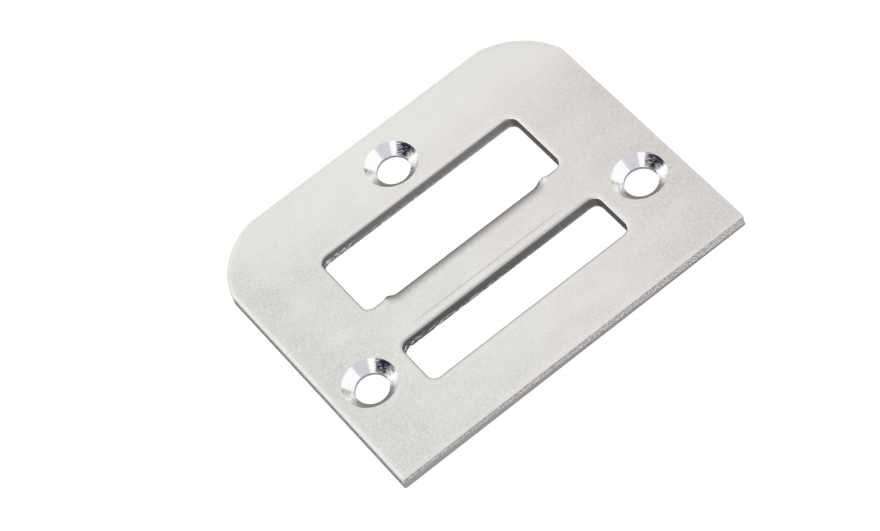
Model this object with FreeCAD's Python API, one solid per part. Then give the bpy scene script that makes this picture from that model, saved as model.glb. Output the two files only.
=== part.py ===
import FreeCAD, Part

import math
import os

# A door strike plate, punched and pressed from one piece of stainless sheet.
# The origin is the middle of the back face. X runs along the plate, Y across it towards
# the two rounded corners, and Z up out of the face that shows when the plate is screwed on.

# The sheet
sheet_thickness = 2.0

# Along the plate: a slot with a band of sheet beyond each end of it
slot_length = 35.0
end_band = 12.5

# Across the plate, from the square long edge to the one with rounded corners
near_band = 9.65
narrow_slot_height = 8.0
bar_width = 7.65
wide_slot_height = 11.9
far_band = 12.8
slot_corner_radius = 1.3

# The corner punch is a little larger than the corner it cuts, so its arc runs past both
# edges by these amounts and meets them at a slight angle.
corner_radius = 12.2
corner_overrun_x = 0.45
corner_overrun_y = 0.3

# The screw holes, countersunk for a 4 mm screw
screw_hole_diameter = 5.0
countersink_diameter = 8.0
countersink_angle = 90.0
side_hole_inset = 6.0
side_hole_distance = 15.75
far_hole_gap = 6.0

# The rolled nose on the bar between the slots, which the bolt slides over. Its tongue
# starts at a foot near each end of the slot and reaches a little way into the slot. The
# roll starts a little inside the feet, and both grow to full depth over the run-out.
nose_foot_gap = 2.2
nose_reach = 0.45
nose_radius = 2.8
nose_angle = 60.0
nose_run_out = 2.4
roll_inset = 0.7
roll_sections = 7
least_share = 0.01

# The small round that the punch leaves on every upper edge
edge_round = 0.2

# How far a cutting tool stands clear of the sheet
tool_clearance = 1.0

plate_length = slot_length + 2 * end_band
narrow_slot_start = near_band
wide_slot_start = near_band + narrow_slot_height + bar_width
wide_slot_end = wide_slot_start + wide_slot_height
plate_width = wide_slot_end + far_band

near_edge = -plate_width / 2
far_edge = plate_width / 2
half_length = plate_length / 2
half_slot = slot_length / 2
half_nose = half_slot - nose_foot_gap
wide_slot_near = near_edge + wide_slot_start
wide_slot_far = near_edge + wide_slot_end
narrow_slot_near = near_edge + narrow_slot_start
narrow_slot_far = narrow_slot_near + narrow_slot_height
nose_tip = wide_slot_near + nose_reach
nose_width = nose_radius * math.sin(math.radians(nose_angle))
nose_drop = nose_radius * (1 - math.cos(math.radians(nose_angle)))
nose_root = nose_tip - nose_width


def point(x, y, z=0.0):
    return FreeCAD.Vector(x, y, z)


def line(start, end):
    return Part.LineSegment(start, end).toShape()


def arc(start, middle, end):
    return Part.Arc(start, middle, end).toShape()


def swing(start, end):
    """An S-shaped edge that leaves its start and reaches its end along X."""
    middle = (start.x + end.x) / 2
    curve = Part.BezierCurve()
    curve.setPoles([start, point(middle, start.y), point(middle, end.y), end])
    return curve.toShape()


def outline():
    """The outer edge: square corners on the near long edge and round ones on the far one."""
    inset_x = corner_radius - corner_overrun_x
    inset_y = corner_radius - corner_overrun_y
    centre_x = half_length - inset_x
    centre_y = far_edge - inset_y
    side_y = centre_y + math.sqrt(corner_radius ** 2 - inset_x ** 2)
    top_x = centre_x + math.sqrt(corner_radius ** 2 - inset_y ** 2)
    diagonal = corner_radius / math.sqrt(2)
    right = (
        point(half_length, side_y),
        point(centre_x + diagonal, centre_y + diagonal),
        point(top_x, far_edge),
    )
    left = [point(-p.x, p.y) for p in reversed(right)]
    corner_left = point(-half_length, near_edge)
    corner_right = point(half_length, near_edge)
    return Part.Wire([
        line(corner_left, corner_right),
        line(corner_right, right[0]),
        arc(*right),
        line(right[2], left[0]),
        arc(*left),
        line(left[2], corner_left),
    ])


def slot_wire(near, far, tongue=False):
    """A slot with round corners. The wide one has the nose's tongue in its near edge."""
    inner = half_slot - slot_corner_radius
    low = near + slot_corner_radius
    high = far - slot_corner_radius
    shift = slot_corner_radius / math.sqrt(2)
    near_left = point(-inner, near)
    near_right = point(inner, near)
    if tongue:
        left_foot = point(-half_nose, near)
        right_foot = point(half_nose, near)
        left_tip = point(-half_nose + nose_run_out, nose_tip)
        right_tip = point(half_nose - nose_run_out, nose_tip)
        near_edges = [
            line(near_left, left_foot),
            swing(left_foot, left_tip),
            line(left_tip, right_tip),
            swing(right_tip, right_foot),
            line(right_foot, near_right),
        ]
    else:
        near_edges = [line(near_left, near_right)]
    return Part.Wire(near_edges + [
        arc(near_right, point(inner + shift, low - shift), point(half_slot, low)),
        line(point(half_slot, low), point(half_slot, high)),
        arc(point(half_slot, high), point(inner + shift, high + shift), point(inner, far)),
        line(point(inner, far), point(-inner, far)),
        arc(point(-inner, far), point(-inner - shift, high + shift), point(-half_slot, high)),
        line(point(-half_slot, high), point(-half_slot, low)),
        arc(point(-half_slot, low), point(-inner - shift, low - shift), near_left),
    ])


def blank():
    """The sheet with its outline and slots, before the nose and the screw holes."""
    face = Part.Face([
        outline(),
        slot_wire(wide_slot_near, wide_slot_far, tongue=True),
        slot_wire(narrow_slot_near, narrow_slot_far),
    ])
    face.validate()
    return face.extrude(point(0, 0, sheet_thickness))


def round_upper_edges(solid):
    """Rounds every edge of the upper face."""
    upper = [
        edge for edge in solid.Edges
        if abs(edge.BoundBox.ZMin - sheet_thickness) < 1e-6
    ]
    return solid.makeFillet(edge_round, upper)


def roll_section(x, share):
    """The space above the nose at one place along it, where it has that share of its drop."""
    drop = nose_drop * share
    top = sheet_thickness
    flank = nose_drop / math.tan(math.radians(nose_angle))
    beyond = tool_clearance
    slope = drop / flank
    root = point(x, nose_root, top)
    tip = point(x, nose_tip, top - drop)
    end = point(x, nose_tip + beyond, top - drop - slope * beyond)
    high_end = point(x, nose_tip + beyond, top + tool_clearance)
    high_root = point(x, nose_root, top + tool_clearance)
    curve = Part.BezierCurve()
    curve.setPoles([root, point(x, nose_tip - flank, top), tip])
    return Part.Wire([
        curve.toShape(),
        line(tip, end),
        line(end, high_end),
        line(high_end, high_root),
        line(high_root, root),
    ])


def nose_cutter():
    """Everything above the nose: a straight middle, and a smooth run-out at each end."""
    outer = half_nose - roll_inset
    inner = outer - nose_run_out
    middle = Part.Face(roll_section(-inner, 1.0)).extrude(point(2 * inner, 0))
    sections = []
    for number in range(roll_sections):
        along = number / (roll_sections - 1)
        ease = along * along * (3 - 2 * along)
        share = least_share + (1 - least_share) * ease
        sections.append(roll_section(-outer + nose_run_out * along, share))
    left_end = Part.makeLoft(sections, True, False)
    right_end = left_end.mirror(point(0, 0), point(1, 0))
    return [middle, left_end, right_end]


def screw_hole(x, y):
    """A countersink with the short straight hole under it."""
    sink_radius = countersink_diameter / 2
    hole_radius = screw_hole_diameter / 2
    slope = math.tan(math.radians(countersink_angle / 2))
    depth = (sink_radius - hole_radius) / slope
    top = sheet_thickness
    profile = Part.makePolygon([
        point(x, y, -tool_clearance),
        point(x + hole_radius, y, -tool_clearance),
        point(x + hole_radius, y, top - depth),
        point(x + sink_radius + tool_clearance * slope, y, top + tool_clearance),
        point(x, y, top + tool_clearance),
        point(x, y, -tool_clearance),
    ])
    return Part.Face(profile).revolve(point(x, y), point(0, 0, 1), 360)


def screw_places():
    """One hole near each short edge, and one between the wide slot and the far edge."""
    side_x = half_length - side_hole_inset
    side_y = near_edge + side_hole_distance
    return [
        (-side_x, side_y),
        (side_x, side_y),
        (0.0, wide_slot_far + far_hole_gap),
    ]


def strike_plate():
    plate = round_upper_edges(blank())
    for tool in nose_cutter():
        plate = plate.cut(tool)
    for place in screw_places():
        plate = plate.cut(screw_hole(*place))
    return plate


def main():
    plate = strike_plate()
    solid = plate.Solids[0]
    print("solids", len(plate.Solids), "valid", plate.isValid())
    print("volume", round(solid.Volume, 3), "faces", len(solid.Faces))
    os.makedirs("parts", exist_ok=True)
    solid.exportStep("parts/strike_plate.step")


main()
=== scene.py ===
import math
from functools import partial

import bmesh
import bpy
import numpy as np
from bpy.props import FloatProperty, FloatVectorProperty, IntProperty, PointerProperty
from mathutils import Matrix, Vector
from mathutils.geometry import delaunay_2d_cdt
from mathutils.kdtree import KDTree


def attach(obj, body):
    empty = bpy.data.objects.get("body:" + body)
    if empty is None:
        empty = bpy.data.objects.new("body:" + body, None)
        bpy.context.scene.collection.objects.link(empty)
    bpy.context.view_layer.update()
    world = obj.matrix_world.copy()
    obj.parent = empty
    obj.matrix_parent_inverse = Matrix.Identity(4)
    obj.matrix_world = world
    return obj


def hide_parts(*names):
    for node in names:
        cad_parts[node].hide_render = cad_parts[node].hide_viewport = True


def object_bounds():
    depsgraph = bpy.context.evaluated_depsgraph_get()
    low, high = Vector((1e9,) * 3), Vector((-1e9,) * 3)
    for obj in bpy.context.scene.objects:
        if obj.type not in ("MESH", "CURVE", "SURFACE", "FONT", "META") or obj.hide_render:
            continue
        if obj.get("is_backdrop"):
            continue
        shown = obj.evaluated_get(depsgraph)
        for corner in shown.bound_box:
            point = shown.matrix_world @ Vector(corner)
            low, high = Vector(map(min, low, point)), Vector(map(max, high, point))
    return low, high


bl_info = {
    "name": "Strike Plate",
    "version": (1, 0, 0),
    "blender": (4, 5, 0),
    "location": "3D View > Sidebar > Strike Plate",
    "description": "A punched stainless strike plate with its finish, its studio and its camera",
    "category": "Add Mesh",
}

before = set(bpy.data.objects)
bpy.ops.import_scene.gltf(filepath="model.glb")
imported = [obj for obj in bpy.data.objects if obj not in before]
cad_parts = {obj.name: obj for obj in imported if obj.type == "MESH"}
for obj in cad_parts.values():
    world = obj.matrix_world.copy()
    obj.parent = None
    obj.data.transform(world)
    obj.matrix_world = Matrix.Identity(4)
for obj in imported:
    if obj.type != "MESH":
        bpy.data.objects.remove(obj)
CAD_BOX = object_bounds()

MM = 0.001
CAD_NODE = "strike_plate"
BODY = "root"
PIECE = "strike_plate_sheet"


def linear(hex_colour):
    """An sRGB hex colour as the linear triple that a shader takes."""
    values = [int(hex_colour[i:i + 2], 16) / 255 for i in (1, 3, 5)]
    return tuple(v / 12.92 if v <= 0.04045 else ((v + 0.055) / 1.055) ** 2.4 for v in values)


def amount(name, default, description, **rest):
    """A number that a user can change, with its limits and its kind."""
    return FloatProperty(name=name, description=description, default=default, **rest)


def place(name, millimetres, description, **rest):
    """A coordinate that a user can change, shown in the scene's own unit."""
    rest.update(precision=5, unit="LENGTH", subtype="DISTANCE")
    return amount(name, millimetres * MM, description, **rest)


def turn(name, degrees, description, **rest):
    """An angle that a user can change."""
    return amount(name, math.radians(degrees), description, subtype="ANGLE", **rest)


length = partial(place, min=0.0)
fraction = partial(amount, min=0.0, max=1.0, subtype="FACTOR")


def colour(name, hex_colour, description):
    """A colour that a user can change."""
    return FloatVectorProperty(
        name=name, description=description, default=linear(hex_colour),
        min=0.0, max=1.0, size=3, subtype="COLOR",
    )


class PlateSizes(bpy.types.PropertyGroup):
    """The driving sizes of the plate, which are those of the solid part."""

    sheet_thickness: length("Sheet thickness", 2.0, "Gauge of the stainless sheet")
    slot_length: length("Slot length", 35.0, "Length of both slots")
    end_band: length("End band", 12.5, "Sheet left beyond each end of the slots")
    near_band: length("Near band", 9.65, "Sheet between the square long edge and the narrow slot")
    narrow_slot_height: length("Narrow slot height", 8.0, "Height of the slot by the square edge")
    bar_width: length("Bar width", 7.65, "Sheet left between the two slots")
    wide_slot_height: length("Wide slot height", 11.9, "Height of the slot by the round corners")
    far_band: length("Far band", 12.8, "Sheet between the wide slot and the far long edge")
    slot_corner: length("Slot corner radius", 1.3, "Radius of the slots' corners")
    corner_radius: length("Corner radius", 12.2, "Radius of the two round corners")
    corner_overrun_x: length("Corner overrun along X", 0.45, "How far the arc runs past the side")
    corner_overrun_y: length("Corner overrun along Y", 0.3, "How far the arc runs past the far edge")
    hole_diameter: length("Screw hole diameter", 5.0, "Diameter of the straight hole")
    sink_diameter: length("Countersink diameter", 8.0, "Diameter of the 90 degree countersink")
    side_hole_inset: length("Side hole inset", 6.0, "From a short edge to its screw hole")
    side_hole_distance: length("Side hole distance", 15.75, "From the square edge to the side holes")
    far_hole_gap: length("Far hole gap", 6.0, "From the wide slot to the far screw hole")
    nose_foot_gap: length("Nose foot gap", 2.2, "From a slot's end to the foot of the nose")
    nose_reach: length("Nose reach", 0.45, "How far the nose reaches into the wide slot")
    nose_radius: length("Nose radius", 2.8, "Radius of the rolled nose")
    nose_angle: turn("Nose angle", 60.0, "How far round the nose is rolled", min=0.1, max=1.5)
    nose_run_out: length("Nose run-out", 2.4, "Length over which the nose fades at each end")
    roll_inset: length("Roll inset", 0.7, "How far inside its feet the roll starts")
    edge_round: length("Edge round", 0.2, "Round that the punch leaves on the upper edges")


class SurfaceSizes(bpy.types.PropertyGroup):
    """The small shapes that punching and pressing leave on the sheet."""

    outer_round: length("Outer round", 0.13, "What is left to see of the round at the outer edge")
    tip_round: length("Tip round", 0.2, "Radius at the tips of the two square corners")
    draw_down: length("Draw-down", 0.07, "How far the sheet is drawn down at a punched edge")
    draw_width: length("Draw-down width", 0.75, "How far in from the edge the draw-down reaches")
    press_depth: length("Press depth", 0.04, "Depth of the lines and rings pressed into the face")
    nose_ease: length("Nose ease", 0.25, "How much further in the bar starts to bend to the nose")
    crease_gap: length("Crease gap", 1.66, "From the narrow slot to the line pressed into the bar")
    crease_spacing: length("Crease spacing", 0.27, "From that line to the fainter one beside it")
    crease_width: length("Crease width", 0.095, "Half width of those lines")
    crease_second: fraction("Second crease", 0.3, "How strong the fainter line is")
    crease_start: place("Crease start", -14.6, "Where those lines start, along X")
    crease_end: place("Crease end", 13.8, "Where those lines end, along X")
    crease_fade: length("Crease fade", 3.5, "Over what length those lines fade at their ends")
    ring_share: fraction("Ring strength", 0.28, "How strong the rings around the side holes are")
    ring_radius: length("Ring radius", 5.3, "Radius of the ring that the sinking tool's stop leaves")
    ring_width: length("Ring width", 0.13, "Half width of that ring")
    outer_border: fraction(
        "Outer border", 0.43, "Share of the thickness where the outer wall turns from smooth to torn",
    )
    outer_border_fall: amount(
        "Outer border fall", 0.016, "How fast that border falls along X", min=0.0, max=0.1,
    )
    slot_border: fraction(
        "Slot border", 0.28, "Share of the thickness where a slot's wall turns from torn to smooth",
    )
    # Slot fade sets how the painted shade on the slots' walls grows to the left.
    slot_fade: amount(
        "Slot fade", 10.0, "How much darker a slot's wall gets to the left, per metre",
        min=0.0, max=50.0,
    )
    # The edge shade is painted shade on the face along each slot's edge.
    stain_width: length("Stain width", 0.45, "How far the stain along a slot reaches into the face")
    stain_depth: fraction("Stain depth", 0.46, "How much darker that stain makes the metal")
    fracture_depth: length("Fracture depth", 0.06, "How deep the torn part of a wall is")
    fracture_grain: length("Fracture grain", 0.28, "Size of the torn grain on a wall")
    groove_depth: length("Groove depth", 0.006, "Depth of the turning marks in a countersink")
    groove_pitch: length("Groove pitch", 0.2, "Distance between those turning marks")
    groove_seed: IntProperty(
        name="Groove seed", description="Seed of the turning marks", default=7, min=0,
    )
    fracture_seed: IntProperty(
        name="Fracture seed", description="Seed of the torn grain", default=3, min=0,
    )


class FinishColours(bpy.types.PropertyGroup):
    """The colours of the plate's three finishes."""

    sheet_light: colour("Sheet, light", "#ECEAE7", "Matt sheet where it is cleanest")
    # The two dull colours are partly handling wear and partly painted shade towards the ends.
    sheet_left: colour("Sheet, left end", "#D8D7D3", "Matt sheet where handling has dulled it, left")
    sheet_right: colour("Sheet, right end", "#D9D5D1", "Matt sheet where handling has dulled it, right")
    torn_light: colour("Torn wall, light", "#FFFCF8", "Torn part of a sheared wall")
    torn_dark: colour("Torn wall, dark", "#B4B1AD", "Pits in that torn part")
    smooth_wall: colour("Smooth wall", "#EDECED", "Burnished part of a sheared wall")
    # The slots' walls are painted darker, as shade inside the slots.
    slot_wall: colour("Slot wall", "#9EA3A6", "Walls of the slots, where the punch's oil stayed on")
    turned: colour("Turned cone", "#FCFCFC", "Bright metal of a countersink")
    drilled: colour("Drilled hole", "#E2E2E3", "Short straight part of a screw hole")


class StudioSettings(bpy.types.PropertyGroup):
    """The camera, the floor and the cards that the bright metal reflects."""

    aim: FloatVectorProperty(
        name="Aim", description="The point on the plate that the camera looks at",
        default=(-5.39 * MM, -0.88 * MM, 2.0 * MM), size=3, unit="LENGTH", subtype="TRANSLATION",
    )
    elevation: turn("Elevation", 54.30, "Height of the camera over the plate")
    azimuth: turn("Azimuth", -108.78, "Side from which the camera looks, from +X towards +Y")
    roll: turn("Roll", -21.94, "Turn of the camera about its own line of sight")
    distance: length("Distance", 470.1, "From the camera to the point it looks at")
    lens: amount(
        "Lens", 138.0, "Focal length on a sensor 36 mm wide, in millimetres", min=10.0, max=400.0,
    )
    floor_size: length("Floor size", 1600.0, "Width of the pale floor")
    floor_lift: fraction("Floor lift", 0.88, "How much the floor glows for the camera, to be white")
    floor_echo: fraction("Floor echo", 0.01, "How much the floor glows for what reflects it")
    floor_colour: colour("Floor", "#868686", "Matt table, before its glow")
    softbox_level: amount(
        "Softbox level", 1.5, "Brightness of the softbox, where the room's walls have 1",
        min=0.0, max=10.0,
    )


class Layout:
    """Every place on the plate, worked out from its driving sizes."""

    def __init__(self, sizes):
        self.sizes = sizes
        self.thickness = sizes.sheet_thickness
        self.half_length = sizes.slot_length / 2 + sizes.end_band
        self.half_slot = sizes.slot_length / 2
        width = sizes.near_band + sizes.narrow_slot_height + sizes.bar_width
        width += sizes.wide_slot_height + sizes.far_band
        self.near = -width / 2
        self.far = width / 2
        self.narrow_near = self.near + sizes.near_band
        self.narrow_far = self.narrow_near + sizes.narrow_slot_height
        self.wide_near = self.narrow_far + sizes.bar_width
        self.wide_far = self.wide_near + sizes.wide_slot_height
        self.half_nose = self.half_slot - sizes.nose_foot_gap
        self.nose_tip = self.wide_near + sizes.nose_reach
        self.nose_root = self.nose_tip - sizes.nose_radius * math.sin(sizes.nose_angle)
        self.nose_drop = sizes.nose_radius * (1 - math.cos(sizes.nose_angle))
        self.side_hole_x = self.half_length - sizes.side_hole_inset
        self.side_hole_y = self.near + sizes.side_hole_distance
        self.far_hole_y = self.wide_far + sizes.far_hole_gap

    def holes(self):
        """The middles of the two side holes and of the far one."""
        return np.array([
            (-self.side_hole_x, self.side_hole_y),
            (self.side_hole_x, self.side_hole_y),
            (0.0, self.far_hole_y),
        ])


FEWEST_STEPS = 6


def line_points(start, end, step):
    """Even points from start up to, and not with, end."""
    start, end = np.array(start, float), np.array(end, float)
    count = max(1, round(np.linalg.norm(end - start) / step))
    return start + (end - start) * (np.arange(count) / count)[:, None]


def arc_points(centre, radius, first, last, step):
    """Even points on an arc, from the first angle up to, and not with, the last."""
    count = max(FEWEST_STEPS, math.ceil(abs(last - first) * radius / step))
    angles = first + (last - first) * np.arange(count) / count
    return np.array(centre) + radius * np.column_stack((np.cos(angles), np.sin(angles)))


def swing_points(start, end, step):
    """Points on an S-shaped curve that leaves its start and reaches its end along X."""
    middle = (start[0] + end[0]) / 2
    poles = np.array([start, (middle, start[1]), (middle, end[1]), end])
    count = max(FEWEST_STEPS, round(abs(end[0] - start[0]) / step))
    t = (np.arange(count) / count)[:, None]
    return (
        poles[0] * (1 - t) ** 3 + poles[1] * 3 * t * (1 - t) ** 2
        + poles[2] * 3 * t ** 2 * (1 - t) + poles[3] * t ** 3
    )


def outline_loop(layout, step):
    """The outer edge, with the sheet on its left: square near corners, round far ones."""
    sizes = layout.sizes
    radius = sizes.corner_radius
    inset_x = radius - sizes.corner_overrun_x
    inset_y = radius - sizes.corner_overrun_y
    centre_x = layout.half_length - inset_x
    centre_y = layout.far - inset_y
    first = math.acos(inset_x / radius)
    last = math.asin(inset_y / radius)
    side_y = centre_y + radius * math.sin(first)
    far_x = centre_x + radius * math.cos(last)
    half, near, far = layout.half_length, layout.near, layout.far
    return np.vstack([
        line_points((-half, near), (half, near), step),
        line_points((half, near), (half, side_y), step),
        arc_points((centre_x, centre_y), radius, first, last, step),
        line_points((far_x, far), (-far_x, far), step),
        arc_points((-centre_x, centre_y), radius, math.pi - last, math.pi - first, step),
        line_points((-half, side_y), (-half, near), step),
    ])


def slot_loop(layout, near, far, tongue, step):
    """A slot's edge, with the sheet on its left. The wide slot has the nose's tongue in it."""
    radius = layout.sizes.slot_corner
    half = layout.half_slot
    inner = half - radius
    low, high = near + radius, far - radius
    quarter = math.pi / 2
    if tongue:
        foot = layout.half_nose
        tip = foot - layout.sizes.nose_run_out
        reach = layout.nose_tip
        near_side = [
            line_points((inner, near), (foot, near), step),
            swing_points((foot, near), (tip, reach), step),
            line_points((tip, reach), (-tip, reach), step),
            swing_points((-tip, reach), (-foot, near), step),
            line_points((-foot, near), (-inner, near), step),
        ]
    else:
        near_side = [line_points((inner, near), (-inner, near), step)]
    return np.vstack(near_side + [
        arc_points((-inner, low), radius, -quarter, -2 * quarter, step),
        line_points((-half, low), (-half, high), step),
        arc_points((-inner, high), radius, 2 * quarter, quarter, step),
        line_points((-inner, far), (inner, far), step),
        arc_points((inner, high), radius, quarter, 0.0, step),
        line_points((half, high), (half, low), step),
        arc_points((inner, low), radius, 0.0, -quarter, step),
    ])


# A corner counts as square where the cosine of its bend is under this, and the points within
# this distance of it lean with it.
SQUARE_BEND = 0.5
CORNER_SPREAD = 3.0 * MM


def into_sheet(loop):
    """The way into the sheet at each point of a loop. It is mitred at a square corner, and the
    points beside the corner lean with it, so that rows set further in don't cross."""
    ahead = np.roll(loop, -1, 0) - loop
    ahead /= np.linalg.norm(ahead, axis=1)[:, None]
    left = np.column_stack((-ahead[:, 1], ahead[:, 0]))
    before = np.roll(left, 1, 0)
    bend = (left * before).sum(1)
    way = (left + before) / (1 + bend)[:, None]
    for corner in np.flatnonzero(bend < SQUARE_BEND):
        for side, lean in ((1, before[corner]), (-1, left[corner])):
            for i in range(1, len(loop)):
                beside = (corner + side * i) % len(loop)
                away = np.linalg.norm(loop[beside] - loop[corner])
                if away >= CORNER_SPREAD:
                    break
                way[beside] += lean * (1 - away / CORNER_SPREAD)
    return way


def eased(values):
    """A smooth step that is 0 up to 0 and 1 from 1 on."""
    values = np.clip(values, 0.0, 1.0)
    return values * values * (3 - 2 * values)


def roll_height(layout, plan, ease):
    """Height of the rolled nose over each point. Away from the nose it is the sheet's face."""
    sizes = layout.sizes
    flank = layout.nose_drop / math.tan(sizes.nose_angle)
    start = layout.half_nose - sizes.roll_inset
    share = eased((start - np.abs(plan[:, 0])) / sizes.nose_run_out)
    bend = layout.nose_tip - flank
    root = layout.nose_root - ease
    a = root - 2 * bend + layout.nose_tip
    b = 2 * (bend - root)
    c = root - np.clip(plan[:, 1], root, layout.nose_tip)
    along = -2 * c / (b + np.sqrt(b * b - 4 * a * c))
    on_bar = plan[:, 1] < (layout.wide_near + layout.wide_far) / 2
    return layout.thickness - np.where(on_bar, layout.nose_drop * share * along ** 2, 0.0)


def pressed_marks(layout, marks, plan):
    """How strongly each point is pressed by the two lines on the bar and by the rings."""
    x, y = plan[:, 0], plan[:, 1]
    ends = eased((x - marks.crease_start) / marks.crease_fade)
    ends *= eased((marks.crease_end - x) / marks.crease_fade)
    line = layout.narrow_far + marks.crease_gap
    pressed = ends * np.exp(-((y - line) / marks.crease_width) ** 2)
    second = y - line - marks.crease_spacing
    pressed += marks.crease_second * ends * np.exp(-(second / marks.crease_width) ** 2)
    for hole in layout.holes()[:2]:
        away = np.hypot(*(plan - hole).T) - marks.ring_radius
        pressed += marks.ring_share * np.exp(-(away / marks.ring_width) ** 2)
    return pressed


def round_tips(layout, plan, radius):
    """Moves what lies past a round at the two square corners onto that round."""
    if radius <= 0:
        return plan
    side = np.where(plan[:, 0] < 0, -1.0, 1.0)
    centre_y = np.full(len(plan), layout.near + radius)
    centre = np.column_stack((side * (layout.half_length - radius), centre_y))
    away = plan - centre
    far_out = (away[:, 0] * side > 0) & (away[:, 1] < 0)
    reach = np.linalg.norm(away, axis=1)
    share = np.where(far_out & (reach > radius), radius / np.maximum(reach, radius), 1.0)
    return centre + away * share[:, None]


# Rows of points up a wall and up the round over it, and how far from the edge the rows of the
# drawn-down band lie.
WALL_ROWS = 12
ROUND_ROWS = 5
DRAW_ROWS = (0.42 * MM, 0.7 * MM, 1.1 * MM)
EDGE_STEP = 0.24 * MM
BORDER_SPREAD = 0.25 * MM
TRAITS = ("wall", "torn", "in_slot", "pressed", "rolled", "stained")

# How soon a wall's points are free to move inwards, above its foot and below its top.
FREE_ABOVE_FOOT = 4.0
FREE_BELOW_TOP = 3.0

# What the triangulation is asked for: only triangles inside its edges, and how close, in
# millimetres, two points count as one.
INSIDE_ONLY = 1
SAME_POINT = 1e-6


class SheetMesh:
    """Gathers the points and faces of the plate, and what each point needs later."""

    def __init__(self, layout, marks):
        self.layout = layout
        self.marks = marks
        self.points = []
        self.inward = []
        self.traits = {name: [] for name in TRAITS}
        self.faces = []
        self.count = 0

    def add(self, plan, heights, inward=0.0, **traits):
        """Adds points and returns their numbers."""
        first, more = self.count, len(plan)
        self.count += more
        self.points.append(np.column_stack((plan, np.broadcast_to(heights, more))))
        self.inward.append(np.column_stack((np.broadcast_to(inward, (more, 2)), np.zeros(more))))
        for name, values in self.traits.items():
            values.append(np.broadcast_to(traits.get(name, 0.0), more).astype(float))
        return np.arange(first, self.count)

    def join_rows(self, lower, upper):
        """Quads between two rows of a loop."""
        rows = (lower, np.roll(lower, -1), np.roll(upper, -1), upper)
        self.faces.extend(np.column_stack(rows).tolist())

    def add_skin(self, plan, from_edge, lowered=0.0, share=1.0, **traits):
        """Adds points of the upper face. It is the lower of the sheet, which is drawn down at
        its punched edges and pressed, and of the rolled nose."""
        marks = self.marks
        down = np.clip(1 - from_edge / marks.draw_width, 0.0, 1.0) ** 2 * marks.draw_down
        pressed = pressed_marks(self.layout, marks, plan)
        sheet = self.layout.thickness - lowered - share * (down + marks.press_depth * pressed)
        heights = np.minimum(sheet, roll_height(self.layout, plan, marks.nose_ease))
        return self.add(plan, heights, pressed=pressed, **traits)

    def rim(self, loop, radius, torn, in_slot=0.0, stained=0.0):
        """A punched edge: its wall, its round and the drawn-down band. Returns both ends."""
        layout, marks = self.layout, self.marks

        # Painted shade on the face along a slot's edge, which fades away from the wall.
        def stain_left(distance):
            return np.maximum(0.0, stained - distance / marks.stain_width)

        way = into_sheet(loop)
        edge = round_tips(layout, loop, marks.tip_round)
        top = np.minimum(layout.thickness - radius, roll_height(layout, loop, marks.nose_ease))
        rows = []
        for i in range(WALL_ROWS + 1):
            share = i / WALL_ROWS
            slack = min(1.0, FREE_ABOVE_FOOT * share, FREE_BELOW_TOP * (1 - share))
            height = top * share
            rows.append(self.add(
                edge, height, way * slack, wall=1.0, torn=torn(loop, height), in_slot=in_slot,
            ))
        for i in range(1, ROUND_ROWS + 1):
            share = i / ROUND_ROWS
            angle = share * math.pi / 2
            distance = radius * (1 - math.cos(angle))
            plan = round_tips(layout, loop + way * distance, marks.tip_round - distance)
            rows.append(self.add_skin(
                plan, radius, radius * (1 - math.sin(angle)), share,
                rolled=1.0, stained=stain_left(distance),
            ))
        for distance in DRAW_ROWS:
            rolled = max(0.0, 1 - (distance - radius) / marks.draw_width)
            rows.append(self.add_skin(
                loop + way * distance, distance, rolled=rolled, stained=stain_left(distance),
            ))
        for lower, upper in zip(rows, rows[1:]):
            self.join_rows(lower, upper)
        return rows[0], rows[-1]

    def fill(self, borders, seeds):
        """Triangles between border rows. The first border is outermost, the rest are holes."""
        plans = [self.plan_of(border) for border in borders]
        numbers = np.concatenate(borders)
        edges = []
        loop_of = {}
        start = 0
        for which, border in enumerate(borders):
            ring = np.arange(start, start + len(border))
            edges.extend(np.column_stack((ring, np.roll(ring, -1))).tolist())
            loop_of.update({number: which for number in ring.tolist()})
            start += len(border)
        if len(seeds):
            numbers = np.concatenate((numbers, self.add_skin(seeds, self.marks.draw_width)))
        plan = np.vstack(plans + [seeds]) / MM
        found = delaunay_2d_cdt([Vector(p) for p in plan], edges, [], INSIDE_ONLY, SAME_POINT)
        source = [ids[0] for ids in found[3]]
        for triangle in found[2]:
            corners = [source[corner] for corner in triangle]
            loops = {loop_of.get(corner) for corner in corners}
            if len(loops) == 1 and loops != {None} and loops != {0}:
                which = loops.pop()
                middle = plan[corners].mean(0) * MM
                if inside(middle[None], plans[which])[0]:
                    continue
            self.faces.append(numbers[corners].tolist())

    def plan_of(self, numbers):
        """Where points lie, seen from above."""
        return np.vstack(self.points)[numbers, :2]

    def to_mesh(self, name):
        """The mesh, with what each point needs later as its attributes."""
        mesh = bpy.data.meshes.new(name)
        mesh.from_pydata(np.vstack(self.points).tolist(), [], self.faces)
        lean = mesh.attributes.new("into_sheet", "FLOAT_VECTOR", "POINT")
        lean.data.foreach_set("vector", np.vstack(self.inward).ravel())
        for trait, values in self.traits.items():
            layer = mesh.attributes.new(trait, "FLOAT", "POINT")
            layer.data.foreach_set("value", np.concatenate(values))
        return mesh


# What stands for the rise of an edge that lies along X, to divide by.
LEAST_RISE = 1e-12


def inside(points, loop):
    """Whether each point lies in a loop, by the sides that a ray along X crosses."""
    x, y = points[:, :1], points[:, 1:]
    start, end = loop, np.roll(loop, -1, 0)
    crosses = (start[:, 1] > y) != (end[:, 1] > y)
    rise = end[:, 1] - start[:, 1]
    rise = np.where(np.abs(rise) < LEAST_RISE, LEAST_RISE, rise)
    where = start[:, 0] + (y - start[:, 1]) * (end[:, 0] - start[:, 0]) / rise
    return ((x < where) & crosses).sum(1) % 2 == 1


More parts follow.
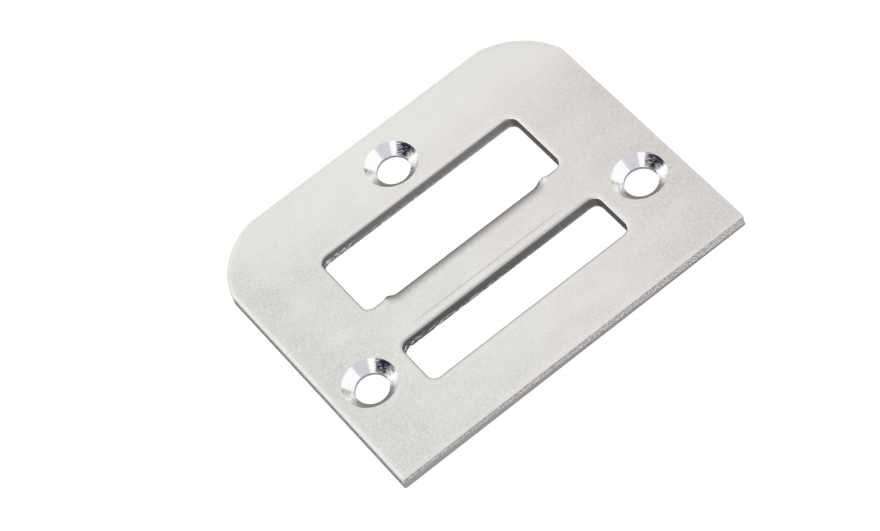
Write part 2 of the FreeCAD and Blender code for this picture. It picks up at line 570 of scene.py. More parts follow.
# How close the points lie: around a hole, on the face, across the bar, across the two pressed
# lines and over a ring, and how far they keep from a border.
HOLE_SEGMENTS = 144
FACE_PITCH = 0.75 * MM
BAR_PITCH = 0.13 * MM
CREASE_PITCH = 0.045 * MM
CREASE_REACH = 0.55 * MM
RING_STEPS = 13
RING_REACH = 0.45 * MM
CLEARANCE = 0.16 * MM


def hole_circle(centre, radius):
    """The points of a round edge, at the angles that the countersinks' mesh has too."""
    angles = np.arange(HOLE_SEGMENTS) / HOLE_SEGMENTS * 2 * math.pi
    return centre + radius * np.column_stack((np.cos(angles), np.sin(angles)))


def grid(x0, x1, y0, y1, pitch_x, pitch_y):
    """Points in rows and columns that fill a rectangle."""
    x = np.linspace(x0, x1, max(2, round((x1 - x0) / pitch_x)))
    y = np.linspace(y0, y1, max(2, round((y1 - y0) / pitch_y)))
    return np.array(np.meshgrid(x, y)).reshape(2, -1).T


def face_seeds(layout, marks, borders):
    """Points across the upper face, closer together where the sheet isn't flat."""
    low, high = layout.narrow_far, layout.nose_tip
    half = layout.half_slot
    line = low + marks.crease_gap
    full = layout.half_length
    wide = grid(-full, full, layout.near, layout.far, FACE_PITCH, FACE_PITCH)
    on_bar = (np.abs(wide[:, 0]) < half) & (wide[:, 1] > low) & (wide[:, 1] < high)
    wide = wide[~on_bar]
    bar = grid(-half, half, low, high, FACE_PITCH / 2, BAR_PITCH)
    bar = bar[np.abs(bar[:, 1] - line) > CREASE_REACH]
    crease = grid(-half, half, line - CREASE_REACH, line + CREASE_REACH, FACE_PITCH / 2, CREASE_PITCH)
    rings = []
    for hole in layout.holes()[:2]:
        away = np.hypot(*(wide - hole).T)
        wide = wide[np.abs(away - marks.ring_radius) > RING_REACH]
        for offset in np.linspace(-RING_REACH, RING_REACH, RING_STEPS):
            rings.append(hole_circle(hole, marks.ring_radius + offset))
    seeds = np.vstack([wide, bar, crease] + rings)
    keep = inside(seeds, borders[0])
    for border in borders[1:]:
        keep &= ~inside(seeds, border)
    seeds = seeds[keep]
    tree = KDTree(sum(len(border) for border in borders))
    for number, point in enumerate(np.vstack(borders)):
        tree.insert((*point, 0.0), number)
    tree.balance()
    clear = [tree.find((*point, 0.0))[2] > CLEARANCE for point in seeds]
    return seeds[np.array(clear)]


# How much painted shade a slot's wall gets, at its middle and at its right end, and how much
# stronger the painted shade on the face is along the slot's far side.
WIDE_SLOT_OIL = (0.6, 0.93, 0.0)
NARROW_SLOT_OIL = (0.85, 1.0, 0.32)

# How much of the painted shade along a slot's edge is left off at the slot's two ends.
CLEAN_RIGHT = 0.75
CLEAN_LEFT = 0.25


def build_sheet(layout, marks):
    """The whole sheet but the insides of its screw holes."""
    sheet = SheetMesh(layout, marks)
    sizes = layout.sizes
    thickness = layout.thickness

    def torn_above(loop, height):
        """The outer wall is torn above a border that falls from left to right."""
        border = marks.outer_border * thickness - marks.outer_border_fall * loop[:, 0]
        return eased((height - border) / BORDER_SPREAD + 0.5)

    def torn_below(loop, height):
        """A slot's wall is torn near its lower edge."""
        return eased((marks.slot_border * thickness - height) / BORDER_SPREAD + 0.5)

    def at_end(loop, way):
        """Is 1 at a slot's right end, or at its left one where the way is -1, and 0 elsewhere."""
        return eased((way * loop[:, 0] - layout.half_slot) / sizes.slot_corner + 1)

    def oiled(loop, middle, right):
        """Painted shade on a slot's wall, darker to the left and dark again at its right end."""
        return np.maximum(middle - marks.slot_fade * loop[:, 0], right * at_end(loop, 1))

    wide_slot = slot_loop(layout, layout.wide_near, layout.wide_far, True, EDGE_STEP)
    narrow_slot = slot_loop(layout, layout.narrow_near, layout.narrow_far, False, EDGE_STEP)
    rims = [sheet.rim(outline_loop(layout, EDGE_STEP), marks.outer_round, torn_above)]
    for slot, (middle, right, smudge) in ((wide_slot, WIDE_SLOT_OIL), (narrow_slot, NARROW_SLOT_OIL)):
        far_side = eased((slot[:, 1] - slot[:, 1].max()) / sizes.slot_corner + 1)
        # Painted shade on the face along the slot's edge: left off at the ends, stronger along the far
        # side.
        stained = 1 - CLEAN_RIGHT * at_end(slot, 1) - CLEAN_LEFT * at_end(slot, -1)
        stained += smudge * far_side
        # Painted shade on the slot's wall.
        oil = oiled(slot, middle, right)
        rims.append(sheet.rim(slot, sizes.edge_round, torn_below, oil, stained))
    upper = [ends[1] for ends in rims]
    lower = [ends[0] for ends in rims]
    for hole in layout.holes():
        upper.append(sheet.add(hole_circle(hole, sizes.sink_diameter / 2), thickness))
        lower.append(sheet.add(hole_circle(hole, sizes.hole_diameter / 2), 0.0))
    seeds = face_seeds(layout, marks, [sheet.plan_of(border) for border in upper])
    sheet.fill(upper, seeds)
    sheet.fill(lower, np.empty((0, 2)))
    return sheet.to_mesh(PIECE)


def add_node(tree, kind, inputs=(), **settings):
    """Adds one node with its settings. An input is a value, or the node or socket that feeds it,
    or a list of those. Inputs go by name, or in the order of the sockets that the settings leave
    in use. A colour has three values."""
    node = tree.nodes.new(kind)
    for name, value in settings.items():
        setattr(node, name, value)
    sockets = [socket for socket in node.inputs if socket.enabled]
    if isinstance(inputs, dict):
        names = [socket.name for socket in sockets]
        sockets = [sockets[names.index(name)] for name in inputs]
        inputs = inputs.values()
    for socket, given in zip(sockets, inputs):
        for value in given if isinstance(given, list) else [given]:
            if isinstance(value, bpy.types.Node):
                value = next(output for output in value.outputs if output.enabled)
            if isinstance(value, bpy.types.NodeSocket):
                tree.links.new(value, socket)
            elif socket.type == "RGBA":
                socket.default_value = (*value, 1.0)
            else:
                socket.default_value = value
    return node


# In order, Map Range takes its value, the two ends of its ramp and what it gives at them, which
# is 0 and 1 unless said. Mix takes its factor and two ends, and Noise its place, scale, detail
# and roughness.
MATH = "ShaderNodeMath"
VECTOR_MATH = "ShaderNodeVectorMath"
MIX = "ShaderNodeMix"
MAP_RANGE = "ShaderNodeMapRange"
NOISE = "ShaderNodeTexNoise"
MAPPING = "ShaderNodeMapping"
SEPARATE = "ShaderNodeSeparateXYZ"
COMBINE = "ShaderNodeCombineXYZ"
COORDINATES = "ShaderNodeTexCoord"
ATTRIBUTE = "ShaderNodeAttribute"
BUMP = "ShaderNodeBump"
SHADER = "ShaderNodeBsdfPrincipled"
OUTPUT = "ShaderNodeOutputMaterial"
ROTATE = "ShaderNodeVectorRotate"
NAMED = "GeometryNodeInputNamedAttribute"
MOVE = "GeometryNodeSetPosition"
JOIN = "GeometryNodeJoinGeometry"
REALIZE = "GeometryNodeRealizeInstances"
COAT = "GeometryNodeSetMaterial"


def new_tree(name, values):
    """A Geometry Nodes tree with a mesh in and out, and an input named for each value."""
    tree = bpy.data.node_groups.new(name, "GeometryNodeTree")
    tree.interface.new_socket("Geometry", in_out="INPUT", socket_type="NodeSocketGeometry")
    tree.interface.new_socket("Geometry", in_out="OUTPUT", socket_type="NodeSocketGeometry")
    for socket_name, value in values.items():
        kind = "NodeSocketInt" if isinstance(value, int) else "NodeSocketFloat"
        tree.interface.new_socket(socket_name, in_out="INPUT", socket_type=kind)
    return tree


def apply_tree(piece, tree, values):
    """Runs a tree on a piece with its inputs set, and keeps the result as its plain mesh."""
    modifier = piece.modifiers.new(tree.name, "NODES")
    modifier.node_group = tree
    for item in tree.interface.items_tree:
        if item.in_out == "INPUT" and item.name in values:
            modifier[item.identifier] = values[item.name]
    graph = bpy.context.evaluated_depsgraph_get()
    graph.update()
    result = bpy.data.meshes.new_from_object(piece.evaluated_get(graph))
    piece.modifiers.clear()
    old = piece.data
    piece.data = result
    bpy.data.meshes.remove(old)
    if not len(result.polygons):
        raise RuntimeError(f"{tree.name} left {piece.name} with no faces")


# A face counts as wall from this share on, which only one with all its corners there reaches.
ALL_WALL = 0.9


def sheared_wall_tree(values, sheet_metal, wall_metal):
    """Roughens the walls where the punch tore them, and gives walls and faces their finish."""
    tree = new_tree("Sheared walls", values)
    add = partial(add_node, tree)
    given = add("NodeGroupInput").outputs
    way = add(NAMED, {"Name": "into_sheet"}, data_type="FLOAT_VECTOR")
    torn, wall = [add(NAMED, {"Name": name}, data_type="FLOAT") for name in ("torn", "wall")]
    scale = add(MATH, (1.0, given["Fracture grain"]), operation="DIVIDE")
    grain = add(
        NOISE, {"W": given["Seed"], "Scale": scale, "Detail": 2.0, "Roughness": 0.6},
        noise_dimensions="4D",
    )
    depth = add(MATH, (grain, given["Fracture depth"]), operation="MULTIPLY")
    depth = add(MATH, (depth, torn), operation="MULTIPLY")
    offset = add(VECTOR_MATH, (way, depth), operation="SCALE")
    moved = add(MOVE, {"Geometry": given["Geometry"], "Offset": offset})
    on_wall = add(
        "FunctionNodeCompare", (wall, ALL_WALL), data_type="FLOAT", operation="GREATER_THAN",
    )
    real = add(REALIZE, {"Geometry": moved})
    faced = add(COAT, {"Geometry": real, "Material": sheet_metal})
    walled = add(COAT, {"Geometry": faced, "Selection": on_wall, "Material": wall_metal})
    add("NodeGroupOutput", {"Geometry": walled})
    return tree


# The strip that a countersink is bent from: its rows, the share of them on the straight land,
# and how often noise breaks its turning marks. Points this close are welded.
SINK_RINGS = 51
LAND_SHARE = 0.2
GROOVE_BREAKS = 2.5
WELD = 0.001 * MM


def countersink_tree(values, turned_metal):
    """Turns one countersunk hole, sets it in all three places and welds it to the sheet.

    A strip stands up from the hole's lower edge: its first part is the straight land and the
    rest is the cone. It is then bent round, once it has its turning marks.
    """
    tree = new_tree("Countersinks", values)
    add = partial(add_node, tree)
    given = add("NodeGroupInput").outputs
    columns = add(MATH, (given["Segments"], 1.0), operation="ADD")
    strip = add(
        "GeometryNodeMeshGrid",
        {"Size X": 2 * math.pi, "Size Y": 1.0, "Vertices X": columns, "Vertices Y": SINK_RINGS},
    )
    parts = add(SEPARATE, (add("GeometryNodeInputPosition"),)).outputs
    climb = add(MATH, (parts["Y"], 0.5), operation="ADD")
    widening = add(MATH, (given["Sink radius"], given["Hole radius"]), operation="SUBTRACT")
    land = add(MATH, (given["Thickness"], widening), operation="SUBTRACT")
    on_land = add(MAP_RANGE, (climb, 0.0, LAND_SHARE, 0.0, land))
    slant = add(MAP_RANGE, (climb, LAND_SHARE, 1.0, 0.0, widening))
    groove_at = add(MATH, (slant, given["Groove pitch"]), operation="DIVIDE")
    around = add(
        ROTATE, {"Vector": add(COMBINE, (GROOVE_BREAKS, 0.0, groove_at)), "Angle": parts["X"]},
        rotation_type="Z_AXIS",
    )
    groove = add(
        NOISE,
        {"Vector": around, "W": given["Seed"], "Scale": 1.0, "Detail": 3.0, "Roughness": 0.7},
        noise_dimensions="4D",
    )
    half = add(MATH, (widening, 0.5), operation="MULTIPLY")
    from_ends = add(MATH, (slant, half), operation="PINGPONG")
    fade = add(MAP_RANGE, (from_ends, 0.0, given["Groove pitch"]))
    groove = add(MATH, (groove, given["Groove depth"]), operation="MULTIPLY")
    groove = add(MATH, (groove, fade), operation="MULTIPLY")
    radius = add(MATH, (given["Hole radius"], slant), operation="ADD")
    radius = add(MATH, (radius, groove), operation="ADD")
    height = add(MATH, (on_land, slant), operation="ADD")
    height = add(MATH, (height, groove), operation="SUBTRACT")
    bent = add(
        ROTATE, {"Vector": add(COMBINE, (radius, 0.0, height)), "Angle": parts["X"]},
        rotation_type="Z_AXIS",
    )
    mapped = add(
        "GeometryNodeStoreNamedAttribute",
        {"Geometry": strip, "Name": "UVMap", "Value": strip.outputs["UV Map"]},
        data_type="FLOAT2", domain="CORNER",
    )
    turned = add(MOVE, {"Geometry": mapped, "Position": bent})
    left_x = add(MATH, (given["Side hole X"], -1.0), operation="MULTIPLY")
    middles = (
        (left_x, given["Side hole Y"]),
        (given["Side hole X"], given["Side hole Y"]),
        (0.0, given["Far hole Y"]),
    )
    spots = [add("GeometryNodePoints", {"Position": add(COMBINE, middle)}) for middle in middles]
    spots = add(JOIN, {"Geometry": spots})
    copies = add("GeometryNodeInstanceOnPoints", {"Points": spots, "Instance": turned})
    real = add(REALIZE, {"Geometry": copies})
    faced = add(COAT, {"Geometry": real, "Material": turned_metal})
    whole = add(JOIN, {"Geometry": [faced, given["Geometry"]]})
    welded = add("GeometryNodeMergeByDistance", {"Geometry": whole, "Distance": WELD})
    add("NodeGroupOutput", {"Geometry": welded})
    return tree


def new_material(name):
    """A material with no nodes yet, and what adds a node to it."""
    material = bpy.data.materials.new(name)
    material.use_nodes = True
    material.node_tree.nodes.clear()
    return material, partial(add_node, material.node_tree)


def per(*millimetres):
    """The scale that makes one blot of noise so many millimetres long on each axis."""
    return tuple(1 / (size * MM) for size in millimetres)


# A noise is the size of one blot along X, Y and Z in millimetres, and its detail and roughness.
STREAKS = (0.42, 0.11, 0.11, 2.0, 0.6)
SPECKS = (0.12, 0.1, 0.1, 1.0, 0.6)
CLOUDS = (5.0, 3.2, 3.2, 3.0, 0.55)

# How much darker the sheet is, partly worn by handling and partly painted shade where the face
# reflects less light: along an axis, from one place to another in millimetres, the share goes
# from one value to another, and the bands add up.
WEAR = (
    ("Y", 12.0, 20.0, 0.46, 0.1),
    ("X", -4.0, -20.0, 0.0, 0.28),
    ("Y", -19.5, -23.5, 0.0, 0.22),
    ("X", -23.5, -28.5, 0.0, 0.5),
)

# The wear and painted shade at the right end grow along X, and only towards the near side.
RIGHT_WEAR = (11.0 * MM, 29.0 * MM, 0.0, 0.5)
RIGHT_WEAR_NEAR = (17.0 * MM, 8.0 * MM)

# A scuffed place by the near left corner: its middle, and how it fades with the distance from it.
SCUFF_PLACE = (-26.0 * MM, -18.5 * MM, 2.0 * MM)
SCUFF = (1.5 * MM, 6.0 * MM, 0.4, 0.0)

# Ramps for the wear's patches, the change from left to right, the fleck and the roughness, and
# how deep or how dark each trace is.
WEAR_PATCHES = (0.35, 0.65, 0.88, 1.12)
LEFT_TO_RIGHT = (-20.0 * MM, 20.0 * MM)
FLECK_CONTRAST = (0.7, 1.3, -1.0, 1.0)
FLECK_RELIEF = 0.02 * MM
FLECK_SHADE = 0.28
ROLLED_FLECK_SHADE = 0.05
PRESSED_SHADE = 0.12
FACE_ROUGHNESS = (0.2, 0.8, 0.41, 0.49)
ROLLED_POLISH = 0.27


def matt_sheet(colours, stain_depth):
    """Stainless steel sheet, cold rolled with a fine matt finish and then handled.

    It is pale and soft, with a faint fleck along the rolling direction, which is X, and it is
    duller and more flecked towards both ends, partly worn by handling and partly painted shade.
    Along the slots' edges and in the pressed lines it is painted darker, as shade. The fleck is
    finer than a pixel on the real sheet and is drawn about 0.1 mm wide.
    """
    material, add = new_material("Stainless sheet, fine matt rolled")
    at = add(COORDINATES).outputs["Object"]
    axes = add(SEPARATE, (at,)).outputs
    rolled, pressed, stained = [
        add(ATTRIBUTE, attribute_name=name).outputs["Fac"] for name in ("rolled", "pressed", "stained")
    ]
    noises = []
    for *blot, detail, breaks in (STREAKS, SPECKS, CLOUDS):
        spread = add(MAPPING, {"Vector": at, "Scale": per(*blot)})
        noises.append(add(NOISE, (spread, 1.0, detail, breaks)))
    streak, speck, cloud = noises
    patchy = add(MAP_RANGE, (cloud, *WEAR_PATCHES))
    worn = 0.0
    for axis, start, end, least, most in WEAR:
        band = add(MAP_RANGE, (axes[axis], start * MM, end * MM, least, most))
        worn = add(MATH, (worn, band), operation="ADD")
    right = add(MAP_RANGE, (axes["X"], *RIGHT_WEAR))
    near = add(MAP_RANGE, (axes["Y"], *RIGHT_WEAR_NEAR))
    worn = add(MATH, (right, near, worn), operation="MULTIPLY_ADD")
    worn = add(MATH, (worn, patchy), operation="MULTIPLY")
    apart = add(VECTOR_MATH, (at, SCUFF_PLACE), operation="DISTANCE")
    scuff = add(MAP_RANGE, (apart, *SCUFF))
    scuff = add(MATH, (scuff, patchy), operation="MULTIPLY")
    worn = add(MATH, (worn, scuff), operation="ADD", use_clamp=True)
    side = add(MAP_RANGE, (axes["X"], *LEFT_TO_RIGHT))
    dull = add(MIX, (side, colours.sheet_left, colours.sheet_right), data_type="RGBA")
    tone = add(MIX, (worn, colours.sheet_light, dull), data_type="RGBA")
    fleck = add(MATH, (streak, speck), operation="ADD")
    fleck = add(MAP_RANGE, (fleck, *FLECK_CONTRAST))
    strength = add(MAP_RANGE, (rolled, 0.0, 1.0, FLECK_SHADE, ROLLED_FLECK_SHADE))
    strength = add(MATH, (strength, worn), operation="MULTIPLY")
    shade = add(MATH, (fleck, strength, 1.0), operation="MULTIPLY_ADD")
    # Painted shade in the pressed lines and rings.
    shade = add(MATH, (pressed, -PRESSED_SHADE, shade), operation="MULTIPLY_ADD")
    # Painted shade along the slots' edges.
    shade = add(MATH, (stained, -stain_depth, shade), operation="MULTIPLY_ADD")
    tone = add(VECTOR_MATH, (tone, shade), operation="SCALE")
    roughness = add(MAP_RANGE, (cloud, *FACE_ROUGHNESS))
    roughness = add(MATH, (rolled, -ROLLED_POLISH, roughness), operation="MULTIPLY_ADD")
    bump = add(BUMP, {"Strength": 0.1, "Distance": FLECK_RELIEF, "Height": fleck})
    metal = add(
        SHADER, {"Base Color": tone, "Metallic": 1.0, "Roughness": roughness, "Normal": bump},
    )
    add(OUTPUT, {"Surface": metal})
    return material


# Noises on the walls, as above: the torn grain, the scores that the tool leaves down the wall,
# what makes the border between the two parts wander, and the bright flecks.
TORN_GRAIN = (0.26, 0.26, 0.34, 3.0, 0.65)
SCORES = (0.2, 0.2, 2.0, 2.0, 0.6)
WANDER = (0.9, 0.9, 0.7, 3.0, 0.6)
FLECKS = (0.7, 0.7, 0.18, 1.0, 0.5)

# How far the border wanders, and ramps for it, the pits, the specks and the flecks.
BORDER_WANDER = 1.6
BORDER_EDGE = (1.1, 1.45)
PIT_CONTRAST = (0.4, 0.52)
SPECK_CONTRAST = (0.47, 0.6, 0.0, 0.75)
FLECK_EDGE = (0.54, 0.56)

# To the left the flecks are stronger, and they reach higher up the wall.
TO_THE_LEFT = (4.0 * MM, -14.0 * MM)
FLECKS_AT_RIGHT = 0.6
FLECK_TOP = (0.2 * MM, 0.8 * MM)
FLECK_TOP_BLUR = 0.3 * MM
FLECK_POLISH = 0.4

# How rough and how deep the two parts are, and the way that flecks and specks face.
SMOOTH_ROUGHNESS = 0.42
TORN_ROUGHNESS = 0.8
WALL_RELIEF = 0.05 * MM
UPWARDS = (0.0, 0.0, 1.0)

# How much of a metal the outer wall is, at the left and at the right, and the slots' walls.
TO_THE_RIGHT = (-10.0 * MM, 25.0 * MM)
SMOOTH_METALLIC = (0.45, 0.7)
TORN_METALLIC = (0.2, 0.0)
SLOT_METALLIC = 0.85


def sheared_wall(colours):
    """Stainless steel sheared by a punch and left as cut.

    One part of a wall is torn, grainy and pale. The other is burnished smooth by the tool,
    with scores that run down the wall. The slots' walls are painted darker, as shade inside the
    slots, and bright flecks show in their torn part, where that painted shade is left off.
    Flecks and specks are little faces that the fracture left turned up.
    """
    material, add = new_material("Stainless steel, sheared by the punch")
    at = add(COORDINATES).outputs["Object"]
    axes = add(SEPARATE, (at,)).outputs
    torn, in_slot = [
        add(ATTRIBUTE, attribute_name=name).outputs["Fac"] for name in ("torn", "in_slot")
    ]
    noises = []
    for *blot, detail, breaks in (TORN_GRAIN, SCORES, WANDER, FLECKS):
        spread = add(MAPPING, {"Vector": at, "Scale": per(*blot)})
        noises.append(add(NOISE, (spread, 1.0, detail, breaks)))
    grain, scores, wander, flecks = noises
    border = add(MATH, (wander, BORDER_WANDER, torn), operation="MULTIPLY_ADD")
    rough_part = add(MAP_RANGE, (border, *BORDER_EDGE))
    pits = add(MAP_RANGE, (grain, *PIT_CONTRAST))
    torn_tone = add(MIX, (pits, colours.torn_dark, colours.torn_light), data_type="RGBA")
    outer = add(MIX, (rough_part, colours.smooth_wall, torn_tone), data_type="RGBA")
    flecks = add(MAP_RANGE, (flecks, *FLECK_EDGE))
    leftward = add(MAP_RANGE, (axes["X"], *TO_THE_LEFT, FLECKS_AT_RIGHT))
    top = add(MAP_RANGE, (axes["X"], *TO_THE_LEFT, *FLECK_TOP))
    over_top = add(MATH, (top, FLECK_TOP_BLUR), operation="ADD")
    low = add(MAP_RANGE, (axes["Z"], over_top, top))
    for share in (leftward, low, in_slot):
        flecks = add(MATH, (flecks, share), operation="MULTIPLY")
    # In the slots the wall colour is painted shade, which the flecks leave off.
    slot_tone = add(MIX, (flecks, colours.slot_wall, colours.torn_light), data_type="RGBA")
    tone = add(MIX, (in_slot, outer, slot_tone), data_type="RGBA")
    relief = add(MIX, (rough_part, scores, grain), data_type="FLOAT")
    bump = add(BUMP, {"Strength": 0.8, "Distance": WALL_RELIEF, "Height": relief})
    outside = add(MATH, (1.0, in_slot), operation="SUBTRACT")
    specks = add(MAP_RANGE, (grain, *SPECK_CONTRAST))
    specks = add(MATH, (specks, rough_part), operation="MULTIPLY")
    raised = add(MATH, (specks, outside, flecks), operation="MULTIPLY_ADD")
    raised = add(VECTOR_MATH, (UPWARDS, raised), operation="SCALE")
    normal = add(VECTOR_MATH, (bump, raised), operation="ADD")
    normal = add(VECTOR_MATH, (normal,), operation="NORMALIZE")
    roughness = add(MAP_RANGE, (rough_part, 0.0, 1.0, SMOOTH_ROUGHNESS, TORN_ROUGHNESS))
    roughness = add(MATH, (flecks, -FLECK_POLISH, roughness), operation="MULTIPLY_ADD")
    rightward = add(MAP_RANGE, (axes["X"], *TO_THE_RIGHT))
    burnished = add(MAP_RANGE, (rightward, 0.0, 1.0, *SMOOTH_METALLIC))
    broken = add(MAP_RANGE, (rightward, 0.0, 1.0, *TORN_METALLIC))
    metallic = add(MAP_RANGE, (rough_part, 0.0, 1.0, burnished, broken))
    metallic = add(MIX, (in_slot, metallic, SLOT_METALLIC), data_type="FLOAT")
    metal = add(
        SHADER, {"Base Color": tone, "Metallic": metallic, "Roughness": roughness, "Normal": normal},
    )
    add(OUTPUT, {"Surface": metal})
    return material


# Turning marks on the cone: how many run round it, and then noise on its UV map, as its scale
# round the hole and up the strip, and its detail. Strokes break the rings and the drift bends
# them.
RINGS = 11
STROKES = (34.0, 15.0, 1.0)
DRIFT = (20.0, 11.0, 2.0)
STROKE_CONTRAST = (0.3, 0.7)
DRIFT_SHARE = 1.6
MARK_RELIEF = 0.007 * MM
LAND_BLUR = 0.01
LAND_ROUGHNESS = 0.5
CONE_ROUGHNESS = 0.1
LAND_METALLIC = 0.3


def turned_cone(colours):
    """Stainless steel turned by a countersinking tool, over a short drilled hole.

    The cone is bright and mirrors its surroundings, broken by fine turning marks that run
    round it. The real marks are finer than a pixel and are drawn about 0.25 mm apart. The
    straight part under it is matt.
    """
    material, add = new_material("Stainless steel, turned bright")
    at = add(COORDINATES).outputs["UV"]
    axes = add(SEPARATE, (at,)).outputs
    noises = []
    for *scale, detail in (STROKES, DRIFT):
        spread = add(MAPPING, {"Vector": at, "Scale": (*scale, 1.0)})
        noises.append(add(NOISE, (spread, 1.0, detail, 0.5)))
    strokes, drift = noises
    strokes = add(MAP_RANGE, (strokes, *STROKE_CONTRAST))
    rings = add(MATH, (axes["Y"], 2 * math.pi * RINGS), operation="MULTIPLY")
    rings = add(MATH, (rings,), operation="SINE")
    rings = add(MATH, (rings, strokes), operation="MULTIPLY")
    marks = add(MATH, (drift, DRIFT_SHARE, rings), operation="MULTIPLY_ADD")
    on_cone = add(MAP_RANGE, (axes["Y"], LAND_SHARE - LAND_BLUR, LAND_SHARE + LAND_BLUR))
    tone = add(MIX, (on_cone, colours.drilled, colours.turned), data_type="RGBA")
    bump = add(BUMP, {"Strength": 1.0, "Distance": MARK_RELIEF, "Height": marks})
    roughness = add(MAP_RANGE, (on_cone, 0.0, 1.0, LAND_ROUGHNESS, CONE_ROUGHNESS))
    metallic = add(MAP_RANGE, (on_cone, 0.0, 1.0, LAND_METALLIC))
    metal = add(
        SHADER, {"Base Color": tone, "Metallic": metallic, "Roughness": roughness, "Normal": bump},
    )
    add(OUTPUT, {"Surface": metal})
    return material


def white_table(settings):
    """A matt table. It glows for the camera, which sees it white with the plate's shadow on
    it, and a little for what reflects it."""
    material, add = new_material("White table")
    seen = add("ShaderNodeLightPath").outputs
    echo = add(MATH, (seen["Is Glossy Ray"], seen["Is Transmission Ray"]), operation="ADD")
    echo = add(MATH, (echo, settings.floor_echo), operation="MULTIPLY")
    glow = add(MATH, (seen["Is Camera Ray"], settings.floor_lift, echo), operation="MULTIPLY_ADD")
    board = add(
        SHADER,
        {"Base Color": settings.floor_colour, "Roughness": 0.9, "Specular IOR Level": 0.0,
         "Emission Color": linear(WHITE), "Emission Strength": glow},
    )
    add(OUTPUT, {"Surface": board})
    return material


WHITE = "#FFFFFF"

# What stands around the table: azimuth from and to, elevation from and to, how soft its edge
# is, and its colour. Angles are in degrees, and azimuth runs from +X towards +Y.
CARDS = {
    "grey wall at the far side": (3.0, 97.0, -8.0, 36.0, 12.0, "#A0A0A0"),
    "low shade at the right": (4.0, 22.0, -10.0, 16.0, 5.0, "#33373B"),
    "dark doorway at the left": (130.0, 203.0, -6.0, 42.0, 7.0, "#202633"),
    "grey screen at the near left": (229.0, 288.0, 2.0, 52.0, 5.0, "#D0CFD6"),
}

# A bright box over them, placed in the same way. Its level is a setting.
SOFTBOX = (86.0, 200.0, 40.0, 84.0, 16.0)

# Where the azimuth starts again, which is behind no card.
AZIMUTH_CUT = -45.0

# The table lies just under the plate. The camera's sensor is as wide as a full frame's, in
# millimetres.
FLOOR_LEVEL = -0.01 * MM
SENSOR_WIDTH = 36.0
NEAREST_SEEN = 1.0 * MM


def lay_world(scene):
    """A white room with a few grey things in it, seen as plain white by the camera."""
    world = bpy.data.worlds.new("White studio")
    scene.world = world
    world.use_nodes = True
    world.node_tree.nodes.clear()
    add = partial(add_node, world.node_tree)
    axes = add(SEPARATE, (add(COORDINATES).outputs["Generated"],)).outputs
    azimuth = add(MATH, (axes["Y"], axes["X"]), operation="ARCTAN2")
    first = math.radians(AZIMUTH_CUT)
    azimuth = add(MATH, (azimuth, first, first + 2 * math.pi), operation="WRAP")
    elevation = add(MATH, (axes["Z"],), operation="ARCSINE")
    shade = linear(WHITE)
    cards = [(*span, linear(hex_colour)) for *span, hex_colour in CARDS.values()]
    cards.append((*SOFTBOX, (scene.studio_settings.softbox_level,) * 3))
    for az0, az1, el0, el1, edge, tint in cards:
        cover = 1.0
        soft = math.radians(edge) / 2
        for around, low, high in ((azimuth, az0, az1), (elevation, el0, el1)):
            for degrees, way in ((low, soft), (high, -soft)):
                middle = math.radians(degrees)
                step = add(MAP_RANGE, (around, middle - way, middle + way))
                cover = add(MATH, (cover, step), operation="MULTIPLY")
        shade = add(MIX, (cover, shade, tint), data_type="RGBA")
    seen = add("ShaderNodeLightPath").outputs["Is Camera Ray"]
    shade = add(MIX, (seen, shade, linear(WHITE)), data_type="RGBA")
    sky = add("ShaderNodeBackground", {"Color": shade})
    add("ShaderNodeOutputWorld", {"Surface": sky})


def lay_floor(settings):
    """The table under the plate, which belongs to the stage and not to the part."""
    half = settings.floor_size / 2
    signs = ((-1, -1), (1, -1), (1, 1), (-1, 1))
    corners = [(x * half, y * half, FLOOR_LEVEL) for x, y in signs]
    mesh = bpy.data.meshes.new("table")
    mesh.from_pydata(corners, [], [(0, 1, 2, 3)])
    mesh.materials.append(white_table(settings))
    table = bpy.data.objects.new("table", mesh)
    bpy.context.scene.collection.objects.link(table)
    table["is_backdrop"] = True


def set_camera(settings):
    """The camera of the photograph: its place, turn and lens."""
    around, up = settings.azimuth, settings.elevation
    back = Vector((math.cos(around) * math.cos(up), math.sin(around) * math.cos(up), math.sin(up)))
    right = Vector((-math.sin(around), math.cos(around), 0.0))
    turned = Matrix.Rotation(settings.roll, 3, back) @ right
    above = back.cross(turned)
    data = bpy.data.cameras.new("camera")
    data.lens = settings.lens
    data.sensor_width = SENSOR_WIDTH
    data.clip_start = NEAREST_SEEN
    camera = bpy.data.objects.new("camera", data)
    axes = Matrix((turned, above, back)).transposed().to_4x4()
    spot = Vector(settings.aim) + back * settings.distance
    camera.matrix_world = Matrix.Translation(spot) @ axes
    bpy.context.scene.collection.objects.link(camera)
    bpy.context.scene.camera = camera


class PressSheet(bpy.types.Operator):
    """Punch the sheet with its slots and press its nose, creases and edges"""

    bl_idname = "strike_plate.press_sheet"
    bl_label = "Press the Sheet"

    def execute(self, context):
        scene = context.scene
        layout = Layout(scene.plate_sizes)
        marks = scene.surface_sizes
        piece = bpy.data.objects.new(PIECE, build_sheet(layout, marks))
        scene.collection.objects.link(piece)
        colours = scene.finish_colours
        finishes = matt_sheet(colours, marks.stain_depth), sheared_wall(colours)
        values = {
            "Fracture depth": marks.fracture_depth,
            "Fracture grain": marks.fracture_grain,
            "Seed": marks.fracture_seed,
        }
        apply_tree(piece, sheared_wall_tree(values, *finishes), values)
        return {"FINISHED"}


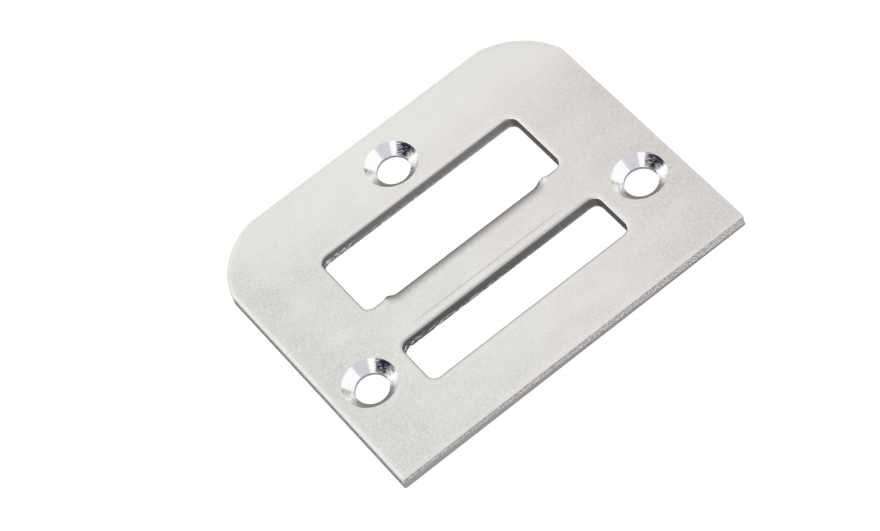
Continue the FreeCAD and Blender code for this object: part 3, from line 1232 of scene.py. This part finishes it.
class TurnCountersinks(bpy.types.Operator):
    """Turn the three countersunk screw holes and weld them into the sheet"""

    bl_idname = "strike_plate.turn_countersinks"
    bl_label = "Turn the Countersinks"

    def execute(self, context):
        scene = context.scene
        piece = bpy.data.objects.get(PIECE)
        if piece is None:
            raise RuntimeError("press the sheet first")
        sizes, marks = scene.plate_sizes, scene.surface_sizes
        layout = Layout(sizes)
        values = {
            "Side hole X": layout.side_hole_x,
            "Side hole Y": layout.side_hole_y,
            "Far hole Y": layout.far_hole_y,
            "Hole radius": sizes.hole_diameter / 2,
            "Sink radius": sizes.sink_diameter / 2,
            "Thickness": sizes.sheet_thickness,
            "Segments": HOLE_SEGMENTS,
            "Groove depth": marks.groove_depth,
            "Groove pitch": marks.groove_pitch,
            "Seed": marks.groove_seed,
        }
        apply_tree(piece, countersink_tree(values, turned_cone(scene.finish_colours)), values)
        finish_mesh(piece)
        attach(piece, BODY)
        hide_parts(CAD_NODE)
        return {"FINISHED"}


SHARP_ANGLE = math.radians(26.0)


def finish_mesh(piece):
    """Turns every face outwards, checks that the plate is closed, and shades it smooth."""
    shape = bmesh.new()
    shape.from_mesh(piece.data)
    bmesh.ops.recalc_face_normals(shape, faces=shape.faces)
    open_edges = sum(1 for edge in shape.edges if not edge.is_manifold)
    inside_out = shape.calc_volume(signed=True) < 0
    if inside_out:
        bmesh.ops.reverse_faces(shape, faces=shape.faces)
    shape.to_mesh(piece.data)
    shape.free()
    if open_edges:
        raise RuntimeError(f"{piece.name} has {open_edges} edges that aren't closed")
    piece.data.shade_smooth()
    piece.data.set_sharp_from_angle(angle=SHARP_ANGLE)


class LayStage(bpy.types.Operator):
    """Lay the white table, light the room and set the camera"""

    bl_idname = "strike_plate.lay_stage"
    bl_label = "Lay the Stage"

    def execute(self, context):
        settings = context.scene.studio_settings
        context.scene.view_settings.view_transform = "Standard"
        lay_world(context.scene)
        lay_floor(settings)
        set_camera(settings)
        return {"FINISHED"}


class StrikePlatePanel(bpy.types.Panel):
    """Lists the steps that build the plate, and its sizes"""

    bl_idname = "VIEW3D_PT_strike_plate"
    bl_label = "Strike Plate"
    bl_space_type = "VIEW_3D"
    bl_region_type = "UI"
    bl_category = "Strike Plate"

    def draw(self, context):
        column = self.layout.column()
        for step in STEPS:
            column.operator(step.bl_idname)
        for name in GROUPS:
            group = getattr(context.scene, name)
            for key in group.__annotations__:
                column.prop(group, key)


STEPS = (PressSheet, TurnCountersinks, LayStage)
GROUPS = {
    "plate_sizes": PlateSizes,
    "surface_sizes": SurfaceSizes,
    "finish_colours": FinishColours,
    "studio_settings": StudioSettings,
}


def register():
    for cls in (*GROUPS.values(), *STEPS, StrikePlatePanel):
        bpy.utils.register_class(cls)
    for name, group in GROUPS.items():
        setattr(bpy.types.Scene, name, PointerProperty(type=group))


def unregister():
    for name in GROUPS:
        delattr(bpy.types.Scene, name)
    for cls in (StrikePlatePanel, *STEPS, *GROUPS.values()):
        bpy.utils.unregister_class(cls)


def main():
    register()
    bpy.ops.strike_plate.press_sheet()
    bpy.ops.strike_plate.turn_countersinks()
    bpy.ops.strike_plate.lay_stage()
    boxes = {"cad": CAD_BOX, "visual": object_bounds()}
    {name: [list(corner) for corner in box] for name, box in boxes.items()}


if __name__ == "__main__":
    main()
